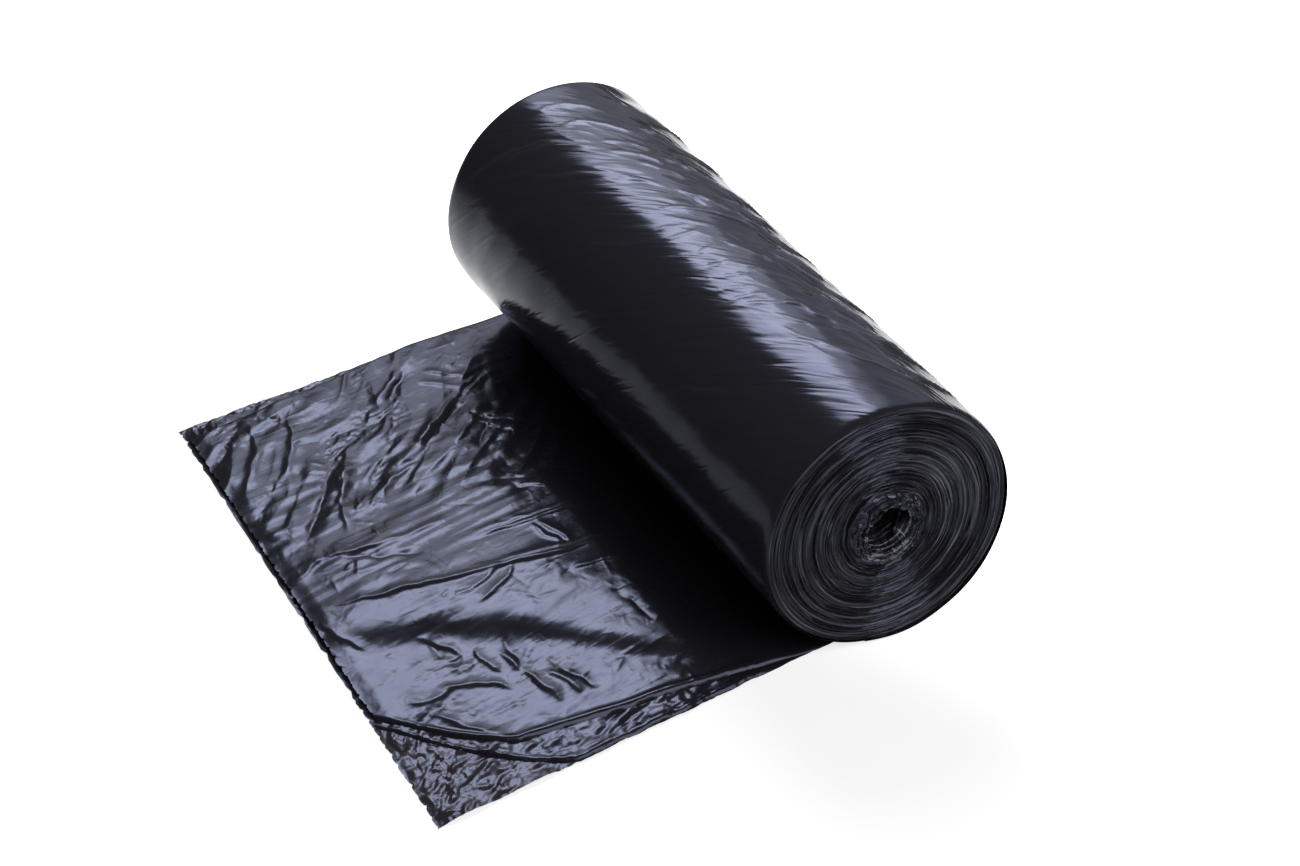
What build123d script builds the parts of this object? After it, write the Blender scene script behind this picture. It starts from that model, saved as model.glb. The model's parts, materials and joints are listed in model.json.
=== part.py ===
"""Roll of bin bags: one web of folded blown film, wound without a core, its first bag unrolled.

The roll lies on the ground plane. Its winding axis runs along +Y, the unrolled tail points to -X
and +Z is up. The origin is on the ground, under the winding axis, at half the roll's length.
All sizes are in millimetres.
"""

import os
from collections import namedtuple
from math import radians, sqrt, tan

from build123d import *

# --- The bag and its web ---------------------------------------------------------------------
sack_width = 700.0  # lay-flat width of the blown tube, one bag wide
panel_count = 3  # the tube is folded in thirds before it is wound
web_width = sack_width / panel_count  # width of the folded web, which each turn of the roll has
panel_height = 0.40  # one panel as it lies: two plies of film and the air between them
web_height = panel_count * panel_height  # the whole folded web, lying loose

# --- The wound roll --------------------------------------------------------------------------
roll_diameter = 96.5
bore_diameter = 16.0  # the hole that the winding mandrel leaves, as there is no card core
turn_wander = 4.6  # the turns wander sideways, so the roll is longer than its web is wide
flat_half_width = 7.0  # the soft roll's own weight presses a flat strip along its underside
end_yaw = 5.4  # degrees; the near end is wound askew: its +X side comes forward
end_pitch = 5.4  # degrees; and its top is set back

# --- The unrolled tail -----------------------------------------------------------------------
tail_length = 172.8  # from the plane of the winding axis to the torn edge
tail_skew = 2.9  # degrees that the tail runs off square, towards the near end
ply_step = 1.5  # each panel is torn a little further back than the one under it

# The perforation: a row of slits that leaves small teeth along the torn edge.
slit_pitch = 5.0
slit_width = 1.2
slit_depth = 1.0

# A panel's edges in plan. Along the far side an upper panel stops short of the lowest one by a
# strip that narrows to nothing. Its near corner is turned back: from the torn edge, cut short by
# across, a bowed fold runs to the knee, which lies along from the torn edge and inset from the
# near edge. An inset knee has a straight fold after it, which meets the near edge at fold_end.
far_strip_length = 98.0
fold_end = 24.0  # from the plane of the winding axis
Panel = namedtuple("Panel", "far_strip across bow along inset")
bottom_panel = Panel(far_strip=0.0, across=0.0, bow=0.0, along=0.0, inset=0.0)
middle_panel = Panel(far_strip=4.0, across=51.0, bow=7.0, along=54.0, inset=0.0)
top_panel = Panel(far_strip=8.5, across=54.0, bow=5.0, along=38.0, inset=17.0)

# --- Sizes that follow -----------------------------------------------------------------------
roll_length = web_width + turn_wander
half_length = roll_length / 2
roll_radius = roll_diameter / 2
flat_sink = roll_radius - sqrt(roll_radius**2 - flat_half_width**2)
axis_height = roll_radius - flat_sink
skew_slope = tan(radians(tail_skew))
near_edge_at_roll = -half_length + turn_wander
# The near end's askew plane: how much it comes forward along X and is set back along Z.
yaw_slope = tan(radians(end_yaw))
pitch_slope = tan(radians(end_pitch))
end_reach = roll_radius * (yaw_slope + pitch_slope)


def near_edge(x):
    """Y of the tail's near edge at x."""
    return near_edge_at_roll + x * skew_slope


def far_edge(x):
    """Y of the tail's far edge at x."""
    return near_edge(x) + web_width


def torn_edge(panel, level):
    """X of a panel's torn edge, and the Y of its near and far ends."""
    x = -tail_length + level * ply_step
    return x, near_edge(x) + panel.across, far_edge(x) - panel.far_strip


def panel_outline(panel, level):
    """A panel's plan as edges: a band from under the roll to its torn edge."""
    torn_x, torn_near, torn_far = torn_edge(panel, level)
    strip_x = torn_x + far_strip_length
    knee_x = torn_x + panel.along
    knee = Vector(knee_x, near_edge(knee_x) + panel.inset)
    turned = Vector(torn_x, torn_near)
    straight = [(-fold_end, near_edge(-fold_end))] if panel.inset else []
    with BuildLine() as outline:
        if panel.across:
            fold = knee - turned
            outward = Vector(fold.Y, -fold.X).normalized()
            ThreePointArc(turned, turned + fold / 2 + outward * panel.bow, knee)
        Polyline(
            knee,
            *straight,
            (0, near_edge(0)),
            (0, far_edge(0)),
            (strip_x, far_edge(strip_x)),
            (torn_x, torn_far),
            turned,
        )
    return outline.edges()


with BuildPart() as bag_roll:
    # The outermost turn is a spiral of four quarter arcs, each tangent to the last and smaller by
    # a quarter of the web, so that after one turn it comes down on the web it started from.
    spiral_step = web_height / 4
    quarter_shifts = ((0, 0), (1, 0), (0, 1), (-1, 0))
    with BuildSketch(Plane.XZ.offset(-half_length)):
        with BuildLine():
            centre = Vector(0, axis_height)
            for quarter, shift in enumerate(quarter_shifts):
                centre += Vector(*shift) * spiral_step
                radius = roll_radius - quarter * spiral_step
                CenterArc(centre, radius, 90 * (quarter - 1), 90)
            Line((0, web_height - flat_sink), (0, -flat_sink))
        make_face()
        # The flat strip that the roll lies on.
        with Locations((0, -flat_sink)):
            Rectangle(
                roll_diameter,
                flat_sink,
                align=(Align.CENTER, Align.MIN),
                mode=Mode.SUBTRACT,
            )
        with Locations((0, axis_height)):
            Circle(bore_diameter / 2, mode=Mode.SUBTRACT)
    extrude(amount=roll_length + end_reach)

    # The near end is trimmed on its askew plane.
    askew_end = Plane(
        origin=(0, -half_length, axis_height),
        z_dir=(yaw_slope, 1, -pitch_slope),
    )
    split(bisect_by=askew_end, keep=Keep.TOP)

    # The tail's panels, from the ground up, each with its row of slits.
    for level, panel in enumerate((bottom_panel, middle_panel, top_panel)):
        torn_x, torn_near, torn_far = torn_edge(panel, level)
        slit_count = int((torn_far - torn_near) / slit_pitch) - 1
        with BuildSketch(Plane.XY.offset(level * panel_height)):
            make_face(panel_outline(panel, level))
            with Locations((torn_x, (torn_near + torn_far) / 2)):
                with GridLocations(slit_pitch, slit_pitch, 1, slit_count):
                    Rectangle(2 * slit_depth, slit_width, mode=Mode.SUBTRACT)
        extrude(amount=panel_height)

bag_roll.part.label = "bag_roll"

os.makedirs("parts", exist_ok=True)
export_step(bag_roll.part, "parts/bag_roll.step")
print(f"web {web_width:.1f} wide, roll {roll_length:.1f} long, volume {bag_roll.part.volume:.0f}")
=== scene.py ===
# %% [markdown]
# # A roll of bin bags with its first bag unrolled
#
# Thin black film is hard to draw because it has almost no colour of its own. What the eye reads is
# the studio mirrored in it: a soft white box behind the roll, the pale table in front, and darkness
# in between. So this lesson spends its effort on two things: film that is shaped like film, down to
# wrinkles a few millimetres wide, and a studio that gives it something to mirror.
#
# The CAD model is the frame. It gives the roll's size, the hole's size and where the tail ends, and
# every piece below is made to those values.

import json
import math

import bpy
import numpy as np
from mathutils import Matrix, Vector


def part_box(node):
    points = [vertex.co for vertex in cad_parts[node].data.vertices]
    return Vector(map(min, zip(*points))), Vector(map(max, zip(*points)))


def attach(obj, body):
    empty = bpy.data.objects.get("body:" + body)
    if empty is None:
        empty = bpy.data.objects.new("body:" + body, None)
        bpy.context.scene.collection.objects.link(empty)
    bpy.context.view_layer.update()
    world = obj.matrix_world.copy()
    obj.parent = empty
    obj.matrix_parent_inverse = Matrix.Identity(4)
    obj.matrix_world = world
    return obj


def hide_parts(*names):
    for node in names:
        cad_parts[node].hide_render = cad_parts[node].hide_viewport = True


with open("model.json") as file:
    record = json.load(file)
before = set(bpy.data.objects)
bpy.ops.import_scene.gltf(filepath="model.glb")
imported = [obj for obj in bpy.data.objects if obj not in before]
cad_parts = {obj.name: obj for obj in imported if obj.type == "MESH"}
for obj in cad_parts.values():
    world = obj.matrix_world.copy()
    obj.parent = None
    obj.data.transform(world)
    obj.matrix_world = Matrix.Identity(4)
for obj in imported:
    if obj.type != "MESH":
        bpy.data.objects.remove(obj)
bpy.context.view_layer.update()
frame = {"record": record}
roll_low, roll_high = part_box("bag_roll")

# %% [markdown]
# ## Sizes
#
# The hole's size comes from its mount. The roll's radius and the tail's length come from the box
# round the roll, because the origin is on the floor under its axis. Only what the CAD model leaves
# out, such as the swelling towards one end, is stated here.

# %% Sizes in millimetres, read from the frame
MM = 0.001
mounts = {m["name"]: m for m in frame["record"]["mounts"]}
spindle = mounts["spindle_bore"]
axis_height = spindle["pos_m"][2] / MM
hole_radius = spindle["dims"]["r_mm"]
roll_length = spindle["dims"]["length_mm"]
roll_radius = roll_high[0] / MM
tail_length = -roll_low[0] / MM
turn_wander = 4.6  # how far the turns stray sideways as they are wound
web_width = roll_length - turn_wander
web_height = 1.2  # three folded panels with the air between them
tail_slope = math.tan(math.radians(2.9))  # the tail runs off a little askew
end_slope = math.tan(math.radians(5.4))  # and the near end is wound askew
# The roll is a little slack at its far end, so it swells from one end to the other.
swell = 1.4
near_radius = roll_radius - swell
far_radius = roll_radius + swell
print("roll", round(roll_radius, 2), "long", round(roll_length, 1), "tail", round(tail_length, 1))

# %% [markdown]
# ## Wrinkles as numbers
#
# Wrinkles in film come in families. Long parallel ones run across the pull, sharp short creases are
# left by handling, and broad waves hold trapped air. Each family is a smooth random field, squeezed
# along one direction. Gradient noise gives such a field, and it is the same on every run, because
# it is worked out from the place alone.

# %% Random fields
def noise(u, v, seed=0):
    """Smooth noise from about -1 to 1, with one bump to a unit of u and v."""
    u, v = np.broadcast_arrays(np.asarray(u, float), np.asarray(v, float))
    cell_u = np.floor(u).astype(np.int64)
    cell_v = np.floor(v).astype(np.int64)
    part_u = u - cell_u
    part_v = v - cell_v

    def corner(step_u, step_v):
        key = (cell_u + step_u) * 73856093 ^ (cell_v + step_v) * 19349663 ^ (seed + 1) * 83492791
        key = ((key ^ (key >> 13)) * 1274126177) & 0x7FFFFFFF
        key = ((key ^ (key >> 15)) * 668265263) & 0x7FFFFFFF
        angle = key * (2 * math.pi / 0x7FFFFFFF)
        return np.cos(angle) * (part_u - step_u) + np.sin(angle) * (part_v - step_v)

    ease_u = part_u**3 * (part_u * (6 * part_u - 15) + 10)
    ease_v = part_v**3 * (part_v * (6 * part_v - 15) + 10)
    bottom = corner(0, 0) * (1 - ease_u) + corner(1, 0) * ease_u
    top = corner(0, 1) * (1 - ease_u) + corner(1, 1) * ease_u
    return 1.6 * (bottom * (1 - ease_v) + top * ease_v)


def ridge(field, sharpness):
    """Crests where the field crosses zero: 1 on a crest, falling to 0 on both sides."""
    return np.clip(1 - np.abs(field) * 2, 0, 1) ** sharpness


def ease(low, high, value):
    """0 below low, 1 above high, and a smooth rise between."""
    part = np.clip((value - low) / (high - low), 0, 1)
    return part * part * (3 - 2 * part)


def crumple(u, v, seed, octaves, warp=0.5):
    """Flat facets that meet in sharp creases, as crushed film has, from 0 up to about 1."""
    u = u + warp * noise(u * 0.6, v * 0.6, seed + 71)
    v = v + warp * noise(u * 0.6 + 9, v * 0.6, seed + 72)
    total = np.zeros_like(u)
    size = 1.0
    for octave in range(octaves):
        total = total + size * np.abs(noise(u, v, seed + octave))
        u, v = turned(u * 2.1, v * 2.1, 37)
        size *= 0.45
    return total


def turned(u, v, degrees):
    """u and v in axes turned by degrees: first along, then across."""
    angle = math.radians(degrees)
    return u * math.cos(angle) + v * math.sin(angle), v * math.cos(angle) - u * math.sin(angle)


print("noise spread", round(float(noise(np.linspace(0, 50, 999), 0.3).std()), 3))

# %% [markdown]
# ### Creases left by handling
#
# Fingers leave short sharp creases that lie roughly one way. Each gets a random place, length and
# height, from seeded numbers, so that they come out the same each time.

# %% Creases left by handling
def creases(x, y, count, seed, area, angle, spread, length, width, height):
    """Adds up count short creases, scattered over area and lying near one angle, in degrees."""
    random = np.random.default_rng(seed)
    total = np.zeros_like(x)
    for _ in range(count):
        middle_x = random.uniform(area[0], area[1])
        middle_y = random.uniform(area[2], area[3])
        lean = math.radians(random.normal(angle, spread))
        half = random.uniform(*length) / 2
        wide = random.uniform(*width)
        tall = random.uniform(*height) * random.choice((-1, 1, 1))
        bend = random.uniform(-0.006, 0.006)
        near = (np.abs(x - middle_x) < 1.6 * half) & (np.abs(y - middle_y) < 1.6 * half)
        if not near.any():
            continue
        step_x = x[near] - middle_x
        step_y = y[near] - middle_y
        along = step_x * math.cos(lean) + step_y * math.sin(lean)
        across = step_y * math.cos(lean) - step_x * math.sin(lean) + bend * along**2
        reach = np.clip(1 - (along / half) ** 2, 0, 1)
        total[near] += tall * reach * np.exp(-np.abs(across) / wide)
    return total


trial = np.linspace(0, 100, 999)
lone = creases(trial, 0 * trial, 9, 1, (0, 100, -2, 2), 90, 9, (8, 20), (0.5, 0.9), (0.1, 0.2))
print("nine creases crossed by a line stand up to", round(float(lone.max()), 2), "mm")

# %% [markdown]
# ### Folds laid one by one
#
# The folds that the eye picks out are each laid along a path of a few points. One side of a fold
# drops steeply and the other leans on the table or the roll, which gives the bright side and the
# dark side that make a fold read as film.

# %% Folds laid along a drawn path
def fold_lines(u, v, lines, wobble_seed, power=1.3):
    """Adds up folds, each given as (height, width, points).

    A fold is a sharp crest that falls off steeply on one side and softly on the other.
    """
    shift_u = u + 0.8 * noise(u / 7, v / 7, wobble_seed)
    shift_v = v + 0.8 * noise(u / 7, v / 7, wobble_seed + 1)
    total = np.zeros_like(u)
    for height, width, points in lines:
        path = np.array(points, float)
        for _ in range(2):  # rounds the corners of the path
            cut = np.empty((2 * len(path) - 2, 2))
            cut[0::2] = 0.75 * path[:-1] + 0.25 * path[1:]
            cut[1::2] = 0.25 * path[:-1] + 0.75 * path[1:]
            path = np.vstack((path[:1], cut, path[-1:]))
        reach = 7 * width
        near = (shift_u > path[:, 0].min() - reach) & (shift_u < path[:, 0].max() + reach)
        near &= (shift_v > path[:, 1].min() - reach) & (shift_v < path[:, 1].max() + reach)
        place_u, place_v = shift_u[near], shift_v[near]
        steps = np.hypot(*np.diff(path, axis=0).T)
        starts = np.concatenate(([0], np.cumsum(steps)))
        best = np.full(place_u.shape, 1e9)
        side = np.ones_like(best)
        travel = np.zeros_like(best)
        for (a_u, a_v), (b_u, b_v), step, start in zip(path, path[1:], steps, starts):
            part = ((place_u - a_u) * (b_u - a_u) + (place_v - a_v) * (b_v - a_v)) / step**2
            part = np.clip(part, 0, 1)
            off_u = place_u - a_u - part * (b_u - a_u)
            off_v = place_v - a_v - part * (b_v - a_v)
            distance = np.hypot(off_u, off_v)
            closer = distance < best
            best = np.where(closer, distance, best)
            side = np.where(closer, np.sign((b_u - a_u) * off_v - (b_v - a_v) * off_u), side)
            travel = np.where(closer, start + part * step, travel)
        travel /= starts[-1]
        fade = ease(0, 0.22, travel) * (1 - ease(0.72, 1, travel))
        fall = np.where(side > 0, best / width, best / (2.2 * width))
        total[near] += height * fade * np.exp(-(fall**power))
    return total


lone = fold_lines(trial, 0 * trial, [(1.0, 2.0, [(50, -20), (50, 20)])], 1)
print("a fold 1 mm high is", round(float((lone > 0.5).mean() * 100), 1), "mm wide at half height")

# %% [markdown]
# ## From a flat sheet to a piece
#
# Each piece starts as a flat grid, as film starts as a flat web. The grid is added with its own
# operator. Then its points are moved to where the film lies, the way a sculptor pushes a sheet
# about, only by formula. The grid's own two directions stay on the piece as a UV map in metres, so
# that a pattern in the material can follow the film round the roll. The last step is the same for
# every piece: it is smoothed, given its film, and tied to the body that it moves with.

# %% Grid maker
def grid_piece(name, columns, rows, place):
    """A grid of columns by rows faces whose points go to place(u, v), with u and v from 0 to 1.

    place gives the points, the film's own two directions and, if it likes, how far each point lies
    on a fold's crest, from 0 to 1, which the material reads to paint a pale highlight there.
    """
    bpy.ops.object.select_all(action="DESELECT")
    bpy.ops.mesh.primitive_grid_add(x_subdivisions=columns, y_subdivisions=rows, size=2)
    piece = bpy.context.object
    piece.name = piece.data.name = name
    flat = np.empty(len(piece.data.vertices) * 3)
    piece.data.vertices.foreach_get("co", flat)
    flat = flat.reshape(-1, 3)
    u = (flat[:, 0] + 1) / 2
    v = (flat[:, 1] + 1) / 2
    points, film, *crease_glint = place(u, v)
    piece.data.vertices.foreach_set("co", (np.stack(points, -1) * MM).ravel())
    loops = np.empty(len(piece.data.loops), np.int32)
    piece.data.loops.foreach_get("vertex_index", loops)
    film = np.stack(film, -1) * MM
    piece.data.uv_layers.active.data.foreach_set("uv", film[loops].ravel())
    if crease_glint:
        layer = piece.data.attributes.new("crease_glint", "FLOAT", "POINT")
        layer.data.foreach_set("value", np.clip(crease_glint[0], 0, 1))
    piece.data.update()
    return piece


def finish_piece(piece, material, merge=False):
    """Smooths a piece, gives it its film and ties it to the roll's body.

    merge joins the points where a piece that goes all the way round meets itself.
    """
    bpy.ops.object.select_all(action="DESELECT")
    piece.select_set(True)
    bpy.context.view_layer.objects.active = piece
    if merge:
        bpy.ops.object.mode_set(mode="EDIT")
        bpy.ops.mesh.select_all(action="SELECT")
        bpy.ops.mesh.remove_doubles(threshold=0.02 * MM)
        bpy.ops.object.mode_set(mode="OBJECT")
    bpy.ops.object.shade_smooth()
    piece.data.materials.clear()
    piece.data.materials.append(material)
    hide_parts("bag_roll")
    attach(piece, "root")
    print(piece.name, len(piece.data.polygons), "faces")


# %% [markdown]
# ## The film
#
# The bags are blown low-density polyethylene, coloured through with carbon black. It is an almost
# black plastic with a smooth, slightly waxy skin, so it has next to no diffuse light and a soft
# mirror, with an index of refraction of 1.51. The mirror is tinted a little blue: that is the blue
# of the soft boxes, painted into the film's mirror. Blowing and handling leave it full of fine
# wrinkles, which are too small for the mesh and go into the bump. Along the folds' crests the film
# is painted a paler grey, a painted highlight for the thin bright lines that folds mirror, so the
# pieces carry where their folds lie as a value that the material reads.

# %% Node helpers
# Painted light: the blue of the soft boxes, painted into the film's mirror as a tint.
lamp_blue_tint = "C9D0F0"


def linear(code):
    """An sRGB hex colour as linear red, green, blue and alpha."""
    parts = [int(code[i : i + 2], 16) / 255 for i in (0, 2, 4)]
    return (*[c / 12.92 if c <= 0.04045 else ((c + 0.055) / 1.055) ** 2.4 for c in parts], 1.0)


def add_node(tree, kind, settings=None, **links):
    """Adds a node with its settings. Each named input is linked to a socket or set to a value."""
    node = tree.nodes.new(kind)
    for name, value in (settings or {}).items():
        setattr(node, name, value)
    for name, value in links.items():
        socket = node.inputs[name.replace("_", " ")]
        if isinstance(value, bpy.types.NodeSocket):
            tree.links.new(value, socket)
        else:
            socket.default_value = value
    return node


def empty_material(name):
    """A new material with no nodes yet, and its node tree."""
    material = bpy.data.materials.new(name)
    material.use_nodes = True
    material.node_tree.nodes.clear()
    return material, material.node_tree


def paint_glint_where(tree, skin, factor, base, colour):
    """Paints a highlight: takes the skin's colour from base to colour as factor goes from 0 to 1.
    """
    mix = add_node(tree, "ShaderNodeMix", {"data_type": "RGBA"}, Factor=factor)
    mix.inputs[6].default_value = linear(base)
    mix.inputs[7].default_value = linear(colour)
    tree.links.new(mix.outputs[2], skin.inputs["Base Color"])


print("the mirror's tint in linear light", [round(part, 2) for part in linear(lamp_blue_tint)[:3]])

# %% [markdown]
# ### One recipe for all the film
#
# Every part of the roll is the same film, so one recipe makes them all. Wound tight, it shows long
# wrinkles. Lying loose, it shows short ones. At the ends every ply is folded over sharply, and fine
# pale lines are painted along them: a painted highlight for the glints on the folded ply edges.

# %% Film material
def film_material(name, base, roughness, wrinkles, specular=0.5, edge_glints=None, crease_glint_colour=None):
    """Black film.

    wrinkles is a list of (bumps per metre along, the same across, turn, detail, height in mm).
    The edge values are a colour and lines per metre along and across: pale lines painted over plies
    seen on edge, a painted highlight for their glints. The last colour is a painted highlight along
    the folds' crests.
    """
    material, tree = empty_material(name)
    film = add_node(tree, "ShaderNodeTexCoord").outputs["UV"]
    # The wrinkles are strong in some patches and faint in others.
    patches = add_node(tree, "ShaderNodeTexNoise", Vector=film, Scale=34.0, Detail=1.0)
    strength = add_node(
        tree,
        "ShaderNodeMapRange",
        Value=patches.outputs["Fac"],
        From_Min=0.35,
        From_Max=0.65,
        To_Min=0.35,
        To_Max=1.25,
    )
    normal = None
    for along, across, turn, detail, height in wrinkles:
        placed = add_node(
            tree, "ShaderNodeMapping", Vector=film, Rotation=(0, 0, math.radians(turn))
        )
        squeezed = add_node(
            tree,
            "ShaderNodeMapping",
            Vector=placed.outputs["Vector"],
            Scale=(along, across, 1),
        )
        field = add_node(
            tree,
            "ShaderNodeTexNoise",
            {"noise_dimensions": "2D", "noise_type": "RIDGED_MULTIFRACTAL", "normalize": False},
            Vector=squeezed.outputs["Vector"],
            Scale=1.0,
            Detail=detail,
            Distortion=0.6,
        )
        relief = add_node(tree, "ShaderNodeMath", {"operation": "MULTIPLY"})
        tree.links.new(field.outputs["Fac"], relief.inputs[0])
        tree.links.new(strength.outputs["Result"], relief.inputs[1])
        bump = add_node(
            tree, "ShaderNodeBump", Distance=height * MM, Height=relief.outputs["Value"]
        )
        if normal is not None:
            tree.links.new(normal, bump.inputs["Normal"])
        normal = bump.outputs["Normal"]
    haze = add_node(
        tree, "ShaderNodeTexNoise", Vector=film, Scale=90.0, Detail=4.0, Roughness=0.6
    )
    dull = add_node(
        tree,
        "ShaderNodeMapRange",
        Value=haze.outputs["Fac"],
        From_Min=0.3,
        From_Max=0.7,
        To_Min=roughness * 0.9,
        To_Max=roughness * 1.15,
    )
    skin = add_node(
        tree,
        "ShaderNodeBsdfPrincipled",
        Base_Color=linear(base),
        Roughness=dull.outputs["Result"],
        IOR=1.51,
        Specular_IOR_Level=specular,
        Specular_Tint=linear(lamp_blue_tint),
        Normal=normal,
    )
    if crease_glint_colour:
        # Painted highlight: the folds' crests are painted paler, for the thin bright lines they
        # mirror.
        stretched = add_node(tree, "ShaderNodeAttribute", {"attribute_name": "crease_glint"})
        paint_glint_where(tree, skin, stretched.outputs["Fac"], base, crease_glint_colour)
    # Painted highlight: pale lines over the plies seen on edge, for their glints.
    if edge_glints:
        colour, along, across = edge_glints
        placed = add_node(tree, "ShaderNodeMapping", Vector=film, Scale=(along, across, 1))
        plies = add_node(
            tree,
            "ShaderNodeTexNoise",
            {"noise_dimensions": "2D"},
            Vector=placed.outputs["Vector"],
            Scale=1.0,
            Detail=2.0,
            Roughness=0.7,
        )
        glint_line = add_node(
            tree,
            "ShaderNodeMapRange",
            Value=plies.outputs["Fac"],
            From_Min=0.55,
            From_Max=0.68,
        )
        paint_glint_where(tree, skin, glint_line.outputs["Result"], base, colour)
    add_node(tree, "ShaderNodeOutputMaterial", Surface=skin.outputs["BSDF"])
    return material


# The outer turn is pulled tight: smooth film with long shallow wrinkles. Its folds' crests get a
# pale painted highlight.
wound_film = film_material(
    "blown_film_wound",
    "2A292F",
    0.175,
    [(15, 165, 0, 1.5, 0.16), (34, 360, 4, 1.0, 0.11)],
    crease_glint_colour="5E5E6A",
)
# The tail lies slack, so its shine is broken up a little more. Its folds' crests get a fainter
# painted highlight.
loose_film = film_material(
    "blown_film_loose",
    "232227",
    0.20,
    [(30, 300, -5, 4.0, 0.05), (230, 200, 40, 4.0, 0.05)],
    crease_glint_colour="38383F",
)
# The lowest panel is only two plies on a white table. A little light comes through it, and that
# light is painted into its colour as a black that is paler and slightly brown.
lone_film = film_material(
    "blown_film_two_plies",
    "332E2F",
    0.22,
    [(60, 260, -5, 4.0, 0.05), (300, 260, 40, 4.0, 0.05)],
)
# An end is all folded edges: fine lines along the spiral, some of them painted pale, a painted
# highlight for the glints on the folded edges. Lines as fine as the film itself would blur to an
# even grey, so these are drawn about a millimetre apart.
ply_edges = film_material(
    "blown_film_ply_edges",
    # Painted shade: a base darker than the wound film's, for the shadowed gaps between the ply
    # edges.
    "19181C",
    0.17,
    [(20, 1000, 0, 2.0, 0.34), (70, 2600, 0, 1.0, 0.05)],
    specular=0.42,
    edge_glints=("5A5A66", 14, 1100),
)
# The loose turns in the core are crushed to small facets, and these catch more of the light.
# Pale lines are painted over them too, a painted highlight for the glints on their edges.
crumpled_film = film_material(
    "blown_film_crumpled",
    "26252B",
    0.18,
    [(160, 160, 20, 2.0, 0.06)],
    specular=0.85,
    edge_glints=("9A9AA6", 60, 700),
)
films = (wound_film, loose_film, lone_film, ply_edges, crumpled_film)
print("films", [film.name for film in films])

# %% [markdown]
# ## The wound roll's outer turn
#
# The outermost turn starts at the bottom, where the tail runs under the roll. It goes up the +X
# side, over the top and down the -X side, and comes to rest on the tail one web thickness further
# in: a spiral. Winding tension differs across the web, so the turn carries long wrinkles. They lie
# at about 45 degrees on the flank and swing round to follow the axis near the +X side. On the
# lower -X flank the film is pulled nearly smooth.

# %% Roll surface
section_stretch = 1.012  # the section is a little taller than wide
axis_rise = 0.55  # the outer web and a little air lift the axis
outer_web = 0.6  # the outer turn stands this far out from the wound radius


def radius_at(y):
    """Radius of the wound roll at y: it swells from the near end to the far end."""
    part = np.clip(y / roll_length + 0.5, 0, 1)
    return near_radius + (far_radius - near_radius) * part


def round_place(radius, angle, y):
    """X and Z at a radius and an angle from the bottom, never lower than the table."""
    z = section_stretch * (radius_at(y) + axis_rise - radius * np.cos(angle))
    return radius * np.sin(angle), np.maximum(z, 0.10)


def roll_point(turn, y, lift):
    """Point on the spiral: turn from 0 at the bottom, by +X, to 1; lift is outwards."""
    radius = radius_at(y) + outer_web - web_height * turn + lift
    x, z = round_place(radius, 2 * math.pi * turn, y)
    return x, y, z


# How far the wrinkles have swung round at each place round the roll.
arc_table = np.linspace(-170, 170, 681)
bend_table = np.cumsum(1.0 + 1.6 * ease(6, 26, arc_table) * (1 - ease(50, 90, arc_table))) * 0.5
bend_table -= np.interp(0, arc_table, bend_table)


def wound_flow(arc, y):
    """Film axes on the roll: along a wrinkle and across the wrinkles, in mm."""
    across = (y + np.interp(arc, arc_table, bend_table)) / 1.41
    return (arc - y) / 1.41, across


print("round the middle of the roll", round(2 * math.pi * float(radius_at(0.0))), "mm")
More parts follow.
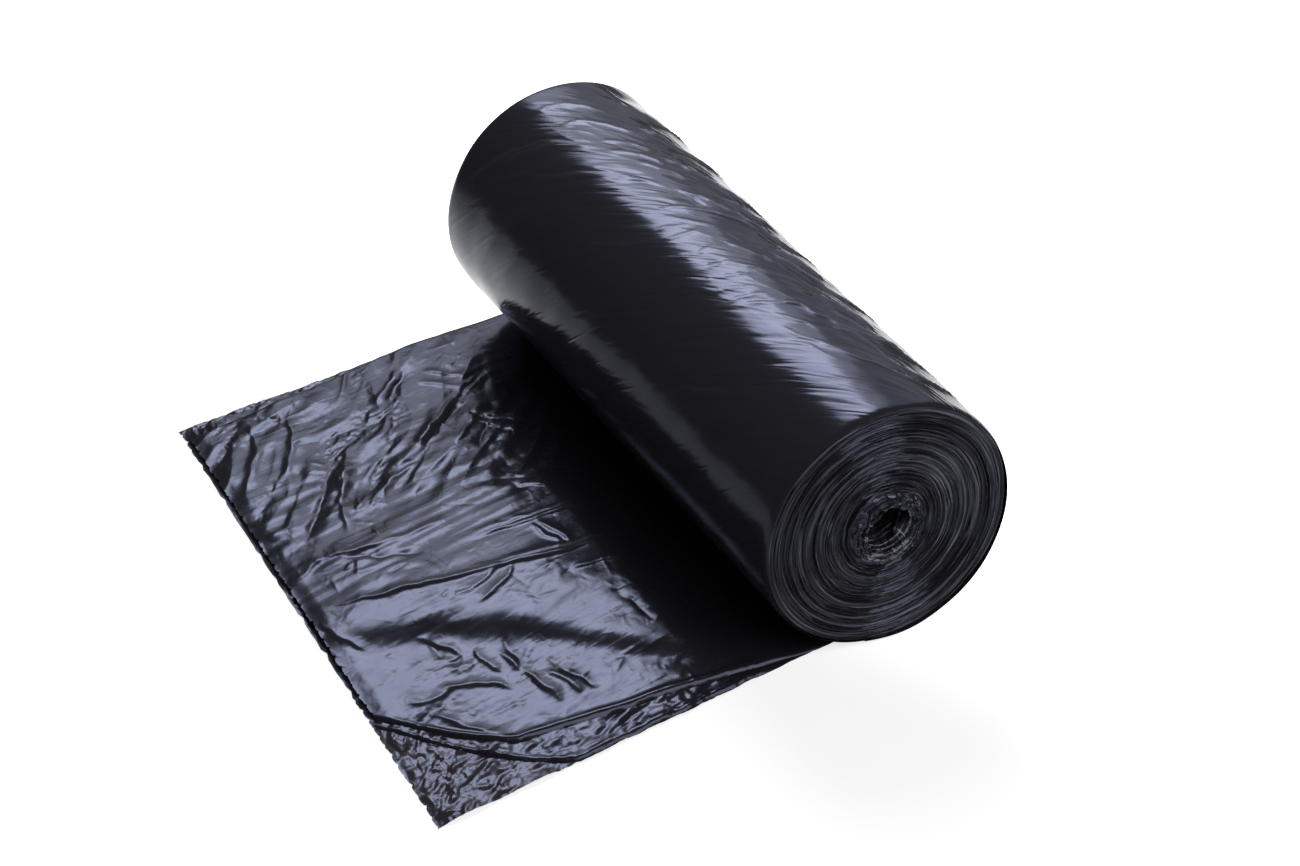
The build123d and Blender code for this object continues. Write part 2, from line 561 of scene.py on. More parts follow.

# %% [markdown]
# ### Wrinkles of the outer turn
#
# Squeezed noise gives the faint parallel wrinkles, slow noise the shallow dents, and random creases
# the hairs. The folds in the table are those that the eye picks out, so each is placed one by one.
# On the +X side they all stand higher, because the film is slack there.

# %% Wrinkles of the outer turn
# Each fold is its height and width, then places round the roll from its top and along it, in mm.
wound_folds = [
    (0.42, 0.9, [(30, -112), (20, -102), (12, -93), (5, -83), (0, -73), (-6, -60), (-9, -54)]),
    (
        0.42,
        0.9,
        [(34, -87), (24, -78), (16, -70), (9, -60), (7, -52), (2, -48), (-8, -42), (-16, -34)],
    ),
    (0.30, 0.8, [(27, -102), (19, -92), (17, -80), (15, -72), (9, -64)]),
    (0.26, 0.7, [(6, -69), (1, -58), (-6, -51)]),
    (0.20, 0.7, [(2, -86), (-4, -74), (-8, -64)]),
    (0.40, 0.8, [(11, -35), (4, -26), (-3, -18), (-14, -15)]),
    (0.25, 0.7, [(4, -43), (-6, -38), (-17, -35)]),
    (0.22, 0.6, [(0, -36), (-9, -30), (-18, -27)]),
    (0.24, 0.6, [(2, -28), (-6, -24), (-16, -20)]),
    (0.24, 0.6, [(1, -6), (-8, -8), (-17, -3)]),
    (0.24, 0.6, [(2, 4), (-6, 4), (-16, 9)]),
    (0.26, 0.6, [(-2, 8), (-9, 13), (-18, 15)]),
    (0.42, 0.9, [(23, -7), (17, 3), (9, 13), (-2, 22), (-10, 24)]),
    (-0.55, 1.0, [(12, 10), (8, 22), (0, 37), (-8, 47)]),
    (0.40, 0.8, [(10, 13), (6, 26), (-2, 40), (-9, 50)]),
    (0.30, 0.7, [(8, 0), (0, 10), (-8, 18)]),
    (0.50, 1.0, [(21, 63), (11, 73), (4, 84), (-4, 91), (-15, 93)]),
    (0.40, 0.9, [(12, 44), (8, 54), (2, 61), (-6, 67)]),
    (0.35, 0.8, [(15, 56), (6, 66), (-4, 76)]),
    (0.35, 0.8, [(8, 93), (1, 102), (-6, 106), (-15, 107)]),
    (0.30, 0.9, [(5, 32), (-3, 42), (-10, 56), (-18, 66)]),
    (0.25, 1.0, [(-14, 86), (-28, 96), (-42, 104), (-56, 114)]),
    (0.22, 1.0, [(-12, 80), (-25, 91), (-38, 99)]),
    (0.20, 1.0, [(-8, 50), (-22, 66), (-34, 82)]),
    (0.16, 1.0, [(-16, 8), (-28, 22), (-36, 34)]),
    (0.14, 1.0, [(-34, -70), (-46, -50), (-54, -40)]),
    (0.16, 1.0, [(-46, 0), (-58, 16), (-66, 26)]),
    (0.45, 0.9, [(44, -96), (34, -92), (26, -80), (20, -66), (12, -52)]),
    (0.40, 0.9, [(40, -108), (30, -104), (22, -96)]),
    (0.50, 1.0, [(46, -60), (34, -54), (26, -42), (20, -26), (14, -14)]),
    (0.40, 0.9, [(30, -70), (24, -58), (18, -46)]),
    (0.50, 1.0, [(48, -22), (36, -18), (27, -8), (21, 6), (13, 20), (4, 34)]),
    (0.40, 0.9, [(32, -36), (26, -24), (20, -14)]),
    (0.50, 1.0, [(48, 12), (36, 16), (27, 26), (20, 42), (10, 58)]),
    (0.40, 0.9, [(34, 2), (26, 12), (20, 24)]),
    (0.50, 1.0, [(48, 46), (36, 50), (27, 60), (22, 70), (14, 82)]),
    (0.45, 0.9, [(46, 76), (35, 80), (27, 90), (18, 100)]),
    (0.30, 0.8, [(22, -4), (14, 8), (6, 22)]),
    (0.30, 0.8, [(18, 30), (9, 44), (0, 56)]),
    (0.30, 0.8, [(17, -30), (9, -16), (2, -6)]),
]


def wound_wrinkles(turn, y):
    """Height of the wrinkles on the outer turn, in mm, and how far each place is on a fold's crest,
    where a highlight is painted.
    """
    arc = (0.5 - turn) * 2 * math.pi * roll_radius
    along, across = turned(arc, y, -52)
    swing = 5 * noise(along / 38, across / 50, 3) + 2.0 * noise(along / 16, across / 22, 4)
    lean = across + swing
    flank = 0.45 * noise(along / 46, lean / 15, 12)
    flank += 0.5 * (0.5 - np.abs(noise(along / 42, lean / 9, 13)))
    flank += 0.22 * (0.5 - np.abs(noise(along / 26, lean / 4.4, 14)))
    upper = 0.06 + 0.94 * ease(-26, 4, arc + 0.05 * (y - 20))
    calm_corner = 1 - 0.8 * ease(-35, -85, y) * (1 - ease(-2, 16, arc))
    patch = 0.45 + 0.75 * ease(-0.6, 0.5, noise(arc / 26, y / 38, 18))
    area = (-80, 60, -115, 115)
    hairs = creases(arc, y, 420, 9, area, -54, 9, (14, 56), (0.5, 0.9), (0.04, 0.16))
    # Walked from the tail's side, each fold has its long slope towards the tail.
    folds = [(height, 0.6 * width, path[::-1]) for height, width, path in wound_folds]
    drawn = fold_lines(arc, y, folds, 23, 1.0)
    # Where a highlight is painted: thin lines on the folds' crests and on the raised hairs.
    lines = [(min(1, 2.2 * abs(height)), 0.42, path[::-1]) for height, _, path in wound_folds]
    crease_glint = fold_lines(arc, y, lines, 23, 1.0) + 0.7 * np.clip(hairs, 0, None)
    dent = 0.6 * noise(arc / 50, y / 70, 19) + 0.25 * noise(arc / 22, y / 40, 20)
    dent += 0.35 * ease(-30, -48, arc) * noise(arc / 12 + 0.04 * y, y / 15, 22)
    dent += 1.5 * ease(8, 34, arc) * noise(arc / 45, (y - 0.3 * arc) / 13, 21) * ease(-100, -70, y)
    height = (
        0.44 * upper * calm_corner * patch * flank
        + 0.5 * dent
        + drawn * (0.75 + 1.35 * ease(-4, 16, arc))
        + hairs * (0.25 + 0.75 * upper) * calm_corner**2
    )
    return height, crease_glint * (0.15 + 0.85 * upper)


print("folds laid on the outer turn", len(wound_folds))

# %% [markdown]
# ### Laying the outer turn
#
# The wrinkles lift the turn off the spiral. They fade out where the turn starts under the roll and
# where it comes down on the tail, and to a third at the rims, because the film is held there.

# %% Outer turn
def near_end(x, z):
    """Y of the askew near end at x and z."""
    return -roll_length / 2 - end_slope * x + end_slope * (z - axis_height)


def outer_turn(u, v):
    """Place of the outer turn's points: u round the roll, v along it."""
    turn = np.interp(u, [0, 0.15, 0.88, 1], [-0.03, 0.31, 0.79, 1.0])
    flat_y = (v - 0.5) * roll_length
    x, _, z = roll_point(turn, flat_y, 0.0)
    start = near_end(x, z) + 0.5 * noise(turn * 9, 0.2, 21)
    end = roll_length / 2 + 0.6 * noise(turn * 7, 0.7, 22)
    y = start + (end - start) * v
    rim = np.minimum(y - start, end - y)
    height, crease_glint = wound_wrinkles(turn, y)
    lift = height * ease(0.0, 0.10, turn) * (1 - ease(0.93, 0.99, turn))
    lift *= 0.35 + 0.65 * ease(0, 14, rim)
    lift = lift - 0.7 * np.exp(-rim / 0.7) - web_height * (1 - ease(-0.03, 0.05, turn))
    arc = (0.5 - turn) * 2 * math.pi * roll_radius
    # The painted highlight on the folds' crests fades out towards the rims.
    return roll_point(turn, y, lift), wound_flow(arc, y), crease_glint * ease(1, 8, rim)


roll_skin = grid_piece("roll_skin", 352, 281, outer_turn)
finish_piece(roll_skin, wound_film)

# %% [markdown]
# ## The wound ends
#
# Each end shows the folded edges of some ninety plies. No two lie quite level, so the end is a
# spiral of fine ridges and grooves. Ninety are too fine for the mesh, so it is drawn coarser, with
# about thirty ridges, and the bump adds finer lines between them. A turn keeps its own height as
# it goes round, so the height is a random value that changes slowly along the spiral.

# %% Wound ends
ridge_pitch = 1.35
mouth_radius = 12.6


def end_relief(radius, turn):
    """How far the ply edges stand out of the end, in mm."""
    ring_u = 2 * np.cos(2 * math.pi * turn)
    ring_v = 2 * np.sin(2 * math.pi * turn)
    wander = 0.5 * noise(ring_u + radius / 30, ring_v + radius / 9, 31)
    wander = wander + 0.22 * noise(2.3 * ring_u + radius / 20, 2.3 * ring_v + radius / 4, 32)
    spiral = (radius + wander) / ridge_pitch - turn
    index = np.floor(spiral)
    part = spiral - index

    def own(length):
        stand = 0.42 * noise(length * 1.3, 0.5, 33) + 0.34 * noise(length * 3.9, 0.5, 34)
        return stand + 0.14 * noise(length * 13, 0.5, 35)

    step = ease(0.80, 1.0, part)
    terrace = own(index + turn) * (1 - step) + own(index + 1 + turn) * step
    crest = (1 - np.abs(2 * part - 1)) ** 1.6 * (0.55 + own(index + turn + 40))
    finer = (part * 2 + 0.3 * noise(1.7 * ring_u + radius / 9, 1.7 * ring_v + radius / 3, 36)) % 1.0
    second = (1 - np.abs(2 * finer - 1)) ** 2 * (0.35 + own(2 * (index + turn) + 90))
    return 1.35 * terrace + 1.15 * crest + 0.55 * second


def end_plane(x, z, far):
    """Y of an end at x and z: the far end is square and the near end askew."""
    return np.full_like(x, roll_length / 2) if far else near_end(x, z)


def wound_end(u, v, far):
    """Place of an end's points: u round it, v from the core's mouth to the rim."""
    angle = 2 * math.pi * u
    end_y = roll_length / 2 if far else -roll_length / 2
    inner_rim = radius_at(end_y) - web_height + 0.2
    rim_radius = radius_at(end_y) - web_height * u * (1 - ease(0.97, 1.0, u)) + 0.2
    radius = mouth_radius * 0.92 + (inner_rim - mouth_radius * 0.92) * v
    radius = radius + (rim_radius - inner_rim) * v**14
    x, z = round_place(radius, angle, end_y)
    relief = end_relief(radius, u)
    edge = rim_radius - radius
    relief = relief * (0.4 + 0.6 * ease(0.5, 4, edge)) + 0.35 * np.exp(-(((edge - 0.9) / 0.7) ** 2))
    plane = end_plane(x, z, far)
    sink = 1.15 - relief + 0.8 * np.exp(-edge / 0.5)
    y = plane - sink if far else plane + sink
    # The pattern runs both ways from the top, so that it meets itself at the bottom.
    return (x, y, z), (np.abs(angle - math.pi) * radius, radius)


near_face = grid_piece("near_end_face", 340, 260, lambda u, v: wound_end(u, v, False))
finish_piece(near_face, ply_edges, merge=True)
far_face = grid_piece("far_end_face", 240, 110, lambda u, v: wound_end(u, v, True))
finish_piece(far_face, ply_edges, merge=True)

# %% [markdown]
# ## The core
#
# The roll is wound on a mandrel that is pulled out, so there is no card tube. The innermost turns
# are left loose and crumpled, and they frill where they come out at each end.

# %% Core
def core_wall(u, v, far):
    """Place of the core's points: u round it, v from the roll's middle to the frilled mouth."""
    angle = 2 * math.pi * u
    end_y = roll_length / 2 if far else -roll_length / 2
    inner = np.clip(v / 0.38, 0, 1)
    outer = np.clip((v - 0.38) / 0.62, 0, 1)
    deep = (roll_length / 2) * (1 - inner) ** 2.4
    ring_u = 2.2 * np.cos(angle)
    ring_v = 2.2 * np.sin(angle)
    wave = noise(1.5 * ring_u, 1.5 * ring_v + deep / 16, 41)
    tuck = crumple(1.3 * ring_u + 5, 1.3 * ring_v - deep / 9, 42, 2)
    radius = hole_radius + 0.9 + (mouth_radius + 0.5 - hole_radius) * outer
    radius = radius + (0.9 * wave - 1.5 * (tuck - 0.35)) * (1 - 0.6 * outer)
    flap = np.exp(-(((angle - 0.95) / 0.5) ** 2)) * np.exp(-(((deep - 3.5) / 2.0) ** 2))
    radius = radius - 2.6 * flap * (1 - outer)
    swing = angle + 0.10 * noise(2.4 * ring_u, 2.4 * ring_v + outer * 2, 47)
    x, z = round_place(radius, swing, end_y)
    plane = end_plane(x, z, far)
    # Four loose plies, each wandering in and out and standing at its own height.
    ply = 4.6 * outer + 0.9 * noise(1.2 * ring_u, 1.2 * ring_v, 43)
    ply = ply + 0.3 * noise(3.4 * ring_u, 3.4 * ring_v, 44)
    index = np.floor(ply)
    part = ply - index

    def stand(which):
        slow = 1.5 * noise(0.9 * ring_u + 3.7 * which, 0.9 * ring_v, 45)
        return slow + 0.5 * noise(3.1 * ring_u, 3.1 * ring_v + 5.3 * which, 46)

    step = ease(0.82, 1.0, part)
    loose = stand(index) * (1 - step) + stand(index + 1) * step
    edge = np.exp(-(((part - 0.72) / 0.12) ** 2))
    pinch = ridge(noise(5.5 * ring_u + 0.6 * outer, 5.5 * ring_v, 48), 2) * (0.4 + 0.6 * wave)
    lip = np.sin(outer**0.8 * math.pi)
    frill = lip * (loose + 0.8 * edge + 0.7 * pinch + 1.1) - 1.0 * outer**4
    y = plane - deep + frill if far else plane + deep - frill
    return (x, y, z), (np.abs(angle - math.pi) * hole_radius, radius - y)


near_core = grid_piece("core_near", 300, 150, lambda u, v: core_wall(u, v, False))
finish_piece(near_core, crumpled_film, merge=True)
far_core = grid_piece("core_far", 200, 80, lambda u, v: core_wall(u, v, True))
finish_piece(far_core, crumpled_film, merge=True)

# %% [markdown]
# ## The unrolled tail
#
# The first bag lies flat and still holds the roll's folds: three panels, each two plies thick, one
# on another. The lowest shows along the far side, at the near corner and at the torn edge. The
# middle one has its near corner turned back, and the top one lies over both with an open fold
# along its near side that stands up a few millimetres on trapped air.

# %% Tail outline
tooth_pitch = 5.0  # from one cut of the perforation to the next
torn_step = 0.8  # each panel tears this much further back than the one under it


def near_edge(x):
    """Y of the tail's near edge; under the roll it meets the roll's own end."""
    straight = -roll_length / 2 + turn_wander + x * tail_slope
    return straight - 6.5 * ease(-16, 0, x)


def far_edge(x):
    """Y of the tail's far edge."""
    return -roll_length / 2 + turn_wander + x * tail_slope + web_width


def perforation(y, seed):
    """How far the torn edge is eaten back at y: small teeth, uneven where the film stretched."""
    shifted = y / tooth_pitch + 0.25 * noise(y / 14, 0.4, seed)
    part = shifted - np.floor(shifted)
    notch = np.clip(1 - np.abs(part - 0.5) / 0.16, 0, 1)
    stretch = 0.5 * noise(y / 3.0, 0.1, seed + 1) + 0.5 * noise(y / 9.0, 0.1, seed + 2)
    return 1.1 * notch * (0.6 + 0.5 * noise(y / 7, 0.8, seed + 3)) + 0.6 * stretch


def tail_panel(level, near_line, far_inset, height, rows, folds=()):
    """A place function for one panel, u from the torn edge to the roll, v from near to far."""

    def place(u, v):
        torn = -tail_length + level * torn_step
        x = torn + (3.0 - torn) * np.interp(u, [0, 0.15, 0.8, 1], [0, 0.10, 0.72, 1])
        near = near_line(x)
        far = far_edge(x) - far_inset(x)
        y = near + (far - near) * np.interp(v, *rows)
        eaten = perforation(y, 50 + 10 * level) * (1 - ease(0.0, 0.02, u))
        x = x + eaten
        # Thin lines on the raised folds' crests, where the material paints a highlight.
        glint_crests = [(0.8, 0.45, path) for rise, _, path in folds if rise > 0]
        return (x, y, height(x, y)), (x, y), fold_lines(x, y, glint_crests, 31, 1.0)

    return place


def middle_near(x):
    """The middle panel's near edge: its corner is turned back along a bowed fold."""
    part = np.clip((x + tail_length) / 54.0, 0, 1)
    return near_edge(x) + 51.0 * (1 - part) ** 1.45 + 0.6 * noise(x / 9, 0.3, 61)


def top_near(x):
    """The top panel's near fold: bowed at the corner, then nearly straight to the roll."""
    part = np.clip((x + tail_length) / 40.0, 0, 1)
    bowed = 17.0 + 38.0 * (1 - part) ** 1.3
    straight = 17.0 * np.clip((-x - 24.0) / (tail_length - 40.0 - 24.0), 0, 1)
    return near_edge(x) + np.where(part < 1, bowed, straight) + 0.5 * noise(x / 12, 0.6, 62)


def strip(width):
    """A far strip of that width at the torn edge, narrowing to nothing."""

    def inset(x):
        narrowing = np.clip(1 - (x + tail_length) / 98.0, 0, 1)
        return width * narrowing + 0.3 * noise(x / 8, 0.9, 63)

    return inset


middle_strip = strip(4.0)
top_strip = strip(8.5)
torn_edge = [round(float(edge(-tail_length)), 1) for edge in (near_edge, far_edge)]
print("torn edge from", torn_edge[0], "to", torn_edge[1], "mm along the roll")

# %% [markdown]
# ### How high the tail stands
#
# Film never lies quite flat. The lowest panel is crushed against the table and the middle one rests
# on it. Each panel's height starts from the panel under it, so that none passes through another,
# and all are pressed flat where they run under the roll.

# %% Heights of the lower panels
def calm(x):
    """The film is held flat where it runs under the roll."""
    return 1 - ease(-66, -26, x)


def bottom_height(x, y):
    """Height of the lowest panel's upper side."""
    along, across = turned(x, y, 35)
    crush = 0.6 * crumple(along / 12, across / 5, 71, 3) + 0.4 * crumple(x / 4, y / 4.5, 79, 2)
    rise = 0.2 + (0.2 + 0.8 * calm(x)) * (1.05 * crush + 0.4 * noise(x / 20, y / 20, 73))
    lifted = 1.5 * ease(-0.2, 0.6, noise(x / 26, 0.2, 78)) * calm(x) * ease(0, 14, x + tail_length)
    lifted = lifted * np.exp(-np.clip(y - near_edge(x), 0, None) / 5)
    return np.maximum(rise * (0.15 + 0.85 * ease(-1, 5, x + tail_length)), 0.12) + lifted


def middle_height(x, y):
    """Height of the middle panel's upper side."""
    edge = np.clip(y - middle_near(x), 0, None)
    along, across = turned(x, y, 20)
    crush = crumple(along / 20, across / 7, 75, 2)
    rise = 0.2 + calm(x) * (0.7 * crush + 0.4 * noise(x / 22, y / 14, 76) + 0.3)
    rise = rise * (0.15 + 0.85 * ease(0, 8, x + tail_length))
    rise = rise + 0.3 * calm(x) * np.exp(-(((edge - 1.6) / 1.3) ** 2))
    return bottom_height(x, y) * 0.6 + 0.12 + rise * (1 - np.exp(-edge / 0.45))


middle_line = np.linspace(-tail_length, -66, 200)
lower = [height(middle_line, 0 * middle_line).mean() for height in (bottom_height, middle_height)]
print("lower panels stand, on average,", [round(float(mean), 2) for mean in lower], "mm high")

# %% [markdown]
# ### The top panel
#
# The top panel floats on trapped air in broad pillows. Between them run waves down the pull of the
# hand that unrolled it, and sharp folds where it was pressed. The folds are listed in a table.

# %% Height of the top panel
# Each fold is its height and width, then places from the roll's axis and along it, in mm.
tail_folds = [
    (
        0.65,
        0.9,
        [(-56, -32), (-78, -30), (-97, -27), (-115, -24), (-130, -21), (-150, -18), (-170, -12)],
    ),
    (0.40, 0.7, [(-56, -29), (-78, -27.5), (-97, -25), (-114, -21.5)]),
    (0.50, 0.8, [(-54, -10), (-80, -8.5), (-106, -7)]),
    (0.35, 0.7, [(-56, -7), (-80, -6), (-104, -4.5)]),
    (0.55, 1.4, [(-104, 9), (-125, 6), (-140, 8), (-160, 11)]),
    (0.55, 1.2, [(-154, 12), (-162, 7), (-171, 3)]),
    (-0.40, 1.0, [(-120, -6), (-136, 0), (-150, 8)]),
    (0.45, 0.9, [(-96, -27), (-106, -36), (-118, -41)]),
    (0.35, 0.8, [(-100, -25), (-112, -31), (-124, -33)]),
    (0.40, 0.9, [(-60, -44), (-72, -40), (-82, -40)]),
    (0.50, 0.9, [(-72, -28), (-75, -19), (-79, -9)]),
    (0.35, 0.8, [(-76, -27), (-80, -17), (-82, -10)]),
    (-0.50, 1.2, [(-99, -97), (-101, -90), (-105, -82), (-109, -72)]),
    (0.45, 1.0, [(-104, -95), (-108, -86), (-112, -78)]),
    (0.60, 1.1, [(-112, -96), (-114, -86), (-118, -74), (-121, -60)]),
    (-0.55, 1.1, [(-121, -80), (-116, -71), (-118, -62), (-116, -56)]),
    (0.50, 1.0, [(-124, -82), (-130, -74), (-140, -71), (-148, -69)]),
    (0.45, 0.9, [(-124, -73), (-128, -64), (-127, -56)]),
    (-0.50, 1.1, [(-135, -62), (-140, -54), (-139, -44)]),
    (0.40, 1.0, [(-131, -60), (-137, -50), (-143, -42)]),
    (0.55, 1.3, [(-134, -102), (-143, -93), (-150, -84), (-156, -76)]),
    (-0.45, 1.4, [(-138, -78), (-149, -76), (-158, -82), (-168, -80)]),
    (0.40, 1.0, [(-140, -70), (-150, -73), (-160, -70)]),
    (0.40, 1.0, [(-160, -40), (-166, -30), (-170, -20)]),
    (-0.90, 1.5, [(-160, 18), (-150, 30), (-143, 40), (-133, 55), (-124, 70), (-117, 84)]),
    (0.70, 1.4, [(-141, 16), (-139, 28), (-132, 45), (-124, 60), (-116, 74)]),
    (0.55, 1.2, [(-131, 26), (-120, 37), (-108, 43), (-95, 46)]),
    (-0.60, 1.3, [(-128, 34), (-116, 47), (-106, 60), (-98, 72), (-90, 86)]),
    (0.55, 1.2, [(-113, 32), (-102, 40), (-92, 52), (-82, 64)]),
    (-0.60, 1.2, [(-101, 43), (-88, 57), (-76, 66), (-62, 80)]),
    (0.55, 1.1, [(-99, 50), (-90, 60), (-80, 67), (-70, 76)]),
    (-0.60, 1.1, [(-98, 82), (-88, 92), (-78, 102)]),
    (0.55, 1.1, [(-101, 85), (-91, 94), (-82, 103)]),
    (-0.50, 1.2, [(-111, 68), (-98, 80), (-88, 89)]),
    (0.60, 1.4, [(-167, 56), (-158, 72), (-150, 84), (-148, 102)]),
    (0.50, 1.3, [(-152, 58), (-142, 70), (-135, 86), (-134, 98)]),
    (-0.50, 1.5, [(-170, 78), (-158, 93), (-150, 102)]),
    (0.60, 1.5, [(-168, 30), (-158, 34), (-152, 44)]),
    (-0.50, 1.5, [(-170, 42), (-160, 50), (-154, 60)]),
    (0.45, 1.0, [(-134, 30), (-128, 33), (-124, 40)]),
    (0.40, 0.9, [(-52, 46), (-62, 54), (-66, 60)]),
    (0.40, 0.8, [(-58, 42), (-66, 50), (-70, 58)]),
    (-0.40, 0.9, [(-63, 56), (-70, 50), (-77, 40)]),
    (0.35, 0.8, [(-68, 60), (-76, 52), (-84, 48)]),
    (0.35, 0.8, [(-64, 78), (-74, 86), (-80, 92)]),
    (0.35, 0.8, [(-60, 84), (-70, 92), (-76, 97)]),
    (0.35, 0.8, [(-64, 6), (-72, 12), (-76, 10)]),
    (0.35, 0.8, [(-62, 16), (-70, 15), (-76, 21)]),
]


def top_height(x, y):
    """Height of the top panel's upper side."""
    drift_x = x + 6 * noise(x / 45, y / 45, 80)
    drift_y = y + 6 * noise(x / 45 + 5, y / 45, 81)
    pillow = 1.3 * noise(x / 50, y / 56, 82) + 0.5 * noise(x / 26 + 4, y / 30, 83)
    # Waves down the pull of the unrolling hand, strongest at the far corner.
    along, across = turned(drift_x, drift_y, 50)
    wave = 0.75 * (0.5 - np.abs(noise(along / 44, across / 11, 84)))
    wave += 0.45 * noise(along / 34, across / 9, 85)
    # Straighter waves that run from the torn edge to the roll.
    along, across = turned(drift_x, y, 8)
    pulled = 0.35 * (0.5 - np.abs(noise(along / 80, across / 9, 87)))
    pulled += 0.2 * noise(along / 50, across / 5, 88)
    crush = crumple(x / 20, y / 17, 90, 2, 0.7)
    fine = crumple(x / 8, y / 8, 94, 2, 0.7)
    far_side = ease(0, 50, y + 0.15 * (x + 120))
    middle_side = np.exp(-(((y + 5 + 0.2 * x) / 34) ** 2))
    smooth = ease(-0.25, 0.25, noise(x / 40 + 2, y / 34, 97))
    handled = creases(
        x, y, 300, 5, (-175, -20, -120, 120), 30, 38, (4, 20), (0.5, 1.0), (0.06, 0.28)
    )
    # One long soft step, where the film changes from one rest on the table to the next.
    step_path = np.interp(x, [-172, -165, -132, -105, -80, -62], [-33, -34, -42, -62, -82, -98])
    step_path = step_path + 3 * noise(x / 22, 0.3, 98)
    rest = (0.5 + 0.5 * np.tanh((y - step_path) / 6.0)) * (1 - ease(-24, 52, y))
    hill = 1.9 * rest * ease(-50, -66, x)
    relief = 0.5 * pillow + wave * (0.08 + 0.92 * far_side) + hill
    relief += pulled * (0.25 + 0.75 * middle_side)
    relief += (1 - 0.85 * smooth) * (0.26 * crush + 0.05 * fine)
    relief += handled * (1 - 0.7 * smooth) + fold_lines(x, y, tail_folds, 31)
    torn = -tail_length + 3.0
    relief = relief * (0.55 + 0.45 * ease(-4, 24, x - torn)) - 0.4 * (1 - ease(-2, 5, x - torn))
    edge = np.clip(y - top_near(x), 0, None)
    fold = 0.7 * np.exp(-(((edge - 1.8) / 1.5) ** 2)) * ease(-tail_length, -150, x)
    base = middle_height(x, y) + 0.25
    free = 1.2 + calm(x) * (0.9 + 1.15 * relief + fold)
    soft = 0.25
    height = base + soft * np.logaddexp(0, (free - base) / soft)
    far_gap = np.clip(far_edge(x) - top_strip(x) - y, 0, None)
    shut = (1 - np.exp(-edge / 0.45)) * (1 - np.exp(-far_gap / 0.5))
    return base - 0.2 + (height - base + 0.2) * shut


top_line = top_height(middle_line, 0 * middle_line)
print("the top panel stands up to", round(float(top_line.max()), 2), "mm high")

# %% [markdown]
# ### Laying the three panels
#
# Each panel is one open sheet that lies on the table. Flat, it is as wide as the folded web, and as
# long as from the roll's axis to the torn edge.

# %% Tail panels
# The rows crowd together at the near edge, where the lower panels show.
rows_all = ([0, 1], [0, 1])
rows_middle = ([0, 0.5, 0.9, 1], [0, 0.2, 0.93, 1])
rows_bottom = ([0, 0.55, 0.85, 1], [0, 0.28, 0.93, 1])
bottom_place = tail_panel(0, near_edge, np.zeros_like, bottom_height, rows_bottom)
middle_place = tail_panel(1, middle_near, middle_strip, middle_height, rows_middle)
top_place = tail_panel(2, top_near, top_strip, top_height, rows_all, tail_folds)
bottom_panel = grid_piece("tail_bottom_panel", 230, 170, bottom_place)
middle_panel = grid_piece("tail_middle_panel", 230, 130, middle_place)
top_panel = grid_piece("tail_top_panel", 290, 340, top_place)
for panel in (bottom_panel, middle_panel, top_panel):
    finish_piece(panel, lone_film if panel == bottom_panel else loose_film)

# %% [markdown]
# ## The studio
#
# The table is white and lit from below until it is almost as bright as paper. Its glow rises
# from the front to the back, and the film mirrors that as a grey that brightens down the flank. A
# clear glowing layer on the table and a white shell far behind it are there for the camera alone,
# so that the background is white and the film stays black.

# %% Floor and shell
def glow_material(name, diffuse, glow):
    """A matt white surface that also glows."""
    material, tree = empty_material(name)
    skin = add_node(
        tree,
        "ShaderNodeBsdfPrincipled",
        Base_Color=(diffuse, diffuse, diffuse, 1),
        Roughness=0.9,
        Specular_IOR_Level=0.0,
        Emission_Color=(1, 1, 1, 1),
        Emission_Strength=glow,
    )
    add_node(tree, "ShaderNodeOutputMaterial", Surface=skin.outputs["BSDF"])
    return material


def disc(name, height, material):
    """A round table top, or a layer over it."""
    bpy.ops.object.select_all(action="DESELECT")
    bpy.ops.mesh.primitive_circle_add(
        vertices=128, radius=0.62, fill_type="NGON", location=(0, 0, height)
    )
    top = bpy.context.object
    top.name = name
    top.data.materials.append(material)
    return top


def hide_from_light(thing):
    """Leaves a stage piece to the camera alone."""
    thing.visible_glossy = False
    thing.visible_diffuse = False
    thing.visible_shadow = False
    thing.visible_transmission = False


front_glow = 0.14
back_glow = 1.30
table = glow_material("opal_table", 0.62, front_glow)
# Its glow rises towards the back, on the +X and +Y side, where the lamps under it are closer.
tree = table.node_tree
across = add_node(tree, "ShaderNodeVectorMath", {"operation": "DOT_PRODUCT"})
tree.links.new(add_node(tree, "ShaderNodeTexCoord").outputs["Object"], across.inputs[0])
across.inputs[1].default_value = (1.0, 0.5, 0.0)
rise = add_node(
    tree,
    "ShaderNodeMapRange",
    {"interpolation_type": "SMOOTHSTEP"},
    Value=across.outputs["Value"],
    From_Min=-0.10,
    From_Max=0.08,
    To_Min=front_glow,
    To_Max=back_glow,
)
tree.links.new(rise.outputs["Result"], tree.nodes["Principled BSDF"].inputs["Emission Strength"])
floor = disc("floor", 0.0, table)

# A clear glowing layer lifts the table past white for the camera alone. The film still mirrors the
# table as it is, and so stays black.
past_white, tree = empty_material("past_white")
clear = add_node(tree, "ShaderNodeBsdfTransparent")
glow = add_node(tree, "ShaderNodeEmission", Strength=0.53)
both = tree.nodes.new("ShaderNodeAddShader")
tree.links.new(clear.outputs["BSDF"], both.inputs[0])
tree.links.new(glow.outputs["Emission"], both.inputs[1])
add_node(tree, "ShaderNodeOutputMaterial", Surface=both.outputs["Shader"])
veil = disc("past_white_layer", 0.00006, past_white)
hide_from_light(veil)
bpy.ops.mesh.primitive_uv_sphere_add(segments=48, ring_count=24, radius=5.0)
shell = bpy.context.object
shell.name = "white_shell"
shell.data.materials.append(glow_material("white_shell", 0.0, 1.0))
hide_from_light(shell)

world = bpy.data.worlds.new("dark_studio")
bpy.context.scene.world = world
world.use_nodes = True
background = world.node_tree.nodes["Background"]
background.inputs["Color"].default_value = (1, 1, 1, 1)
background.inputs["Strength"].default_value = 0.07
print("stage", [thing.name for thing in (floor, veil, shell)])

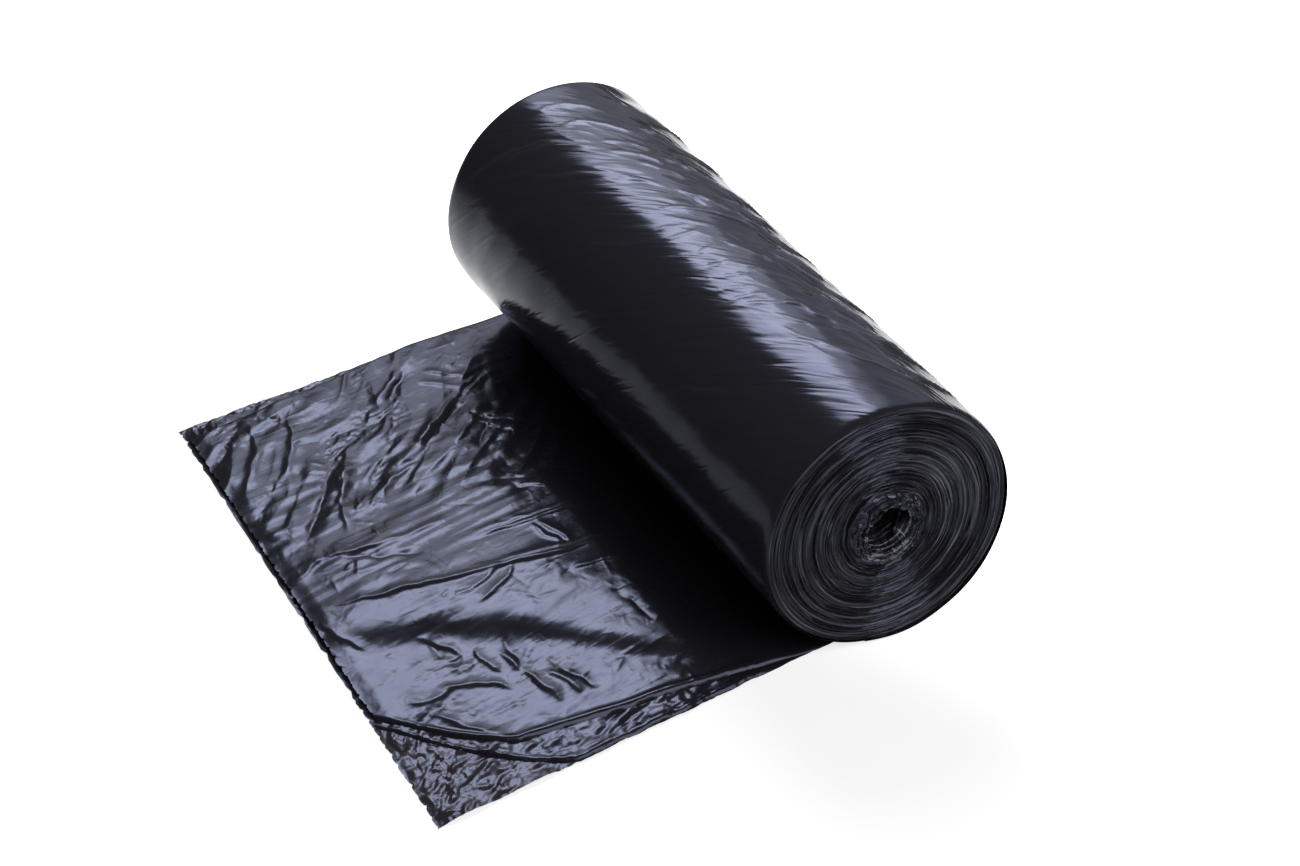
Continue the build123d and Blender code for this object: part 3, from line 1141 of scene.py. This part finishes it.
# %% [markdown]
# ### The lamps
#
# Three soft boxes nest behind the roll: a small bright one, a wider dim one round it, and a low
# faint skirt. Together they make one highlight with a soft border, in the top of the roll and all
# over the tail. A fourth, in front, fills the near end, which mirrors none of the others. Around
# them the room is dark, and that keeps the film black.

# %% Lights
def soft_box(name, azimuth, elevation, distance, wide, tall, radiance, colour="FFFFFF"):
    """An area light that faces the roll, with its brightness as seen in a mirror."""
    bearing = math.radians(azimuth)
    rise = math.radians(elevation)
    direction = Vector(
        (math.cos(rise) * math.sin(bearing), math.cos(rise) * math.cos(bearing), math.sin(rise))
    )
    light = bpy.data.lights.new(name, "AREA")
    light.shape = "RECTANGLE"
    light.size = wide
    light.size_y = tall
    light.energy = radiance * math.pi * wide * tall
    light.color = linear(colour)[:3]
    lamp = bpy.data.objects.new(name, light)
    bpy.context.scene.collection.objects.link(lamp)
    lamp.location = direction * distance
    lamp.rotation_euler = direction.to_track_quat("Z", "Y").to_euler()
    print(name, "is", distance, "m away and", wide, "by", tall, "m")


soft_box("back_box", 18, 51, 1.5, 0.54, 0.40, 8.2, "EEF2FF")
soft_box("back_box_edge", 23, 42, 1.52, 0.80, 0.62, 2.0, "EEF2FF")
soft_box("back_box_skirt", 34, 31, 1.6, 1.5, 1.3, 0.55, "EEF2FF")
soft_box("front_fill", 165, 48, 1.5, 1.2, 0.8, 3.2)

# %% [markdown]
# ### The camera
#
# It looks down at the roll's near end from a little over half a metre up, with a lens somewhat
# longer than normal, so that the far end isn't made to look small.

# %% Camera
camera_data = bpy.data.cameras.new("camera")
camera_data.lens = 59.95
camera_data.sensor_width = 36
camera_data.clip_start = 0.01
camera = bpy.data.objects.new("camera", camera_data)
bpy.context.scene.collection.objects.link(camera)
camera.location = (-0.3442, -0.5540, 0.5282)
camera.rotation_euler = (math.radians(90 - 38.65), 0, math.radians(-30.03))
bpy.context.scene.camera = camera
bpy.context.scene.view_settings.view_transform = "Standard"
print("camera", [round(v, 3) for v in camera.location], "lens", round(camera_data.lens, 2), "mm")
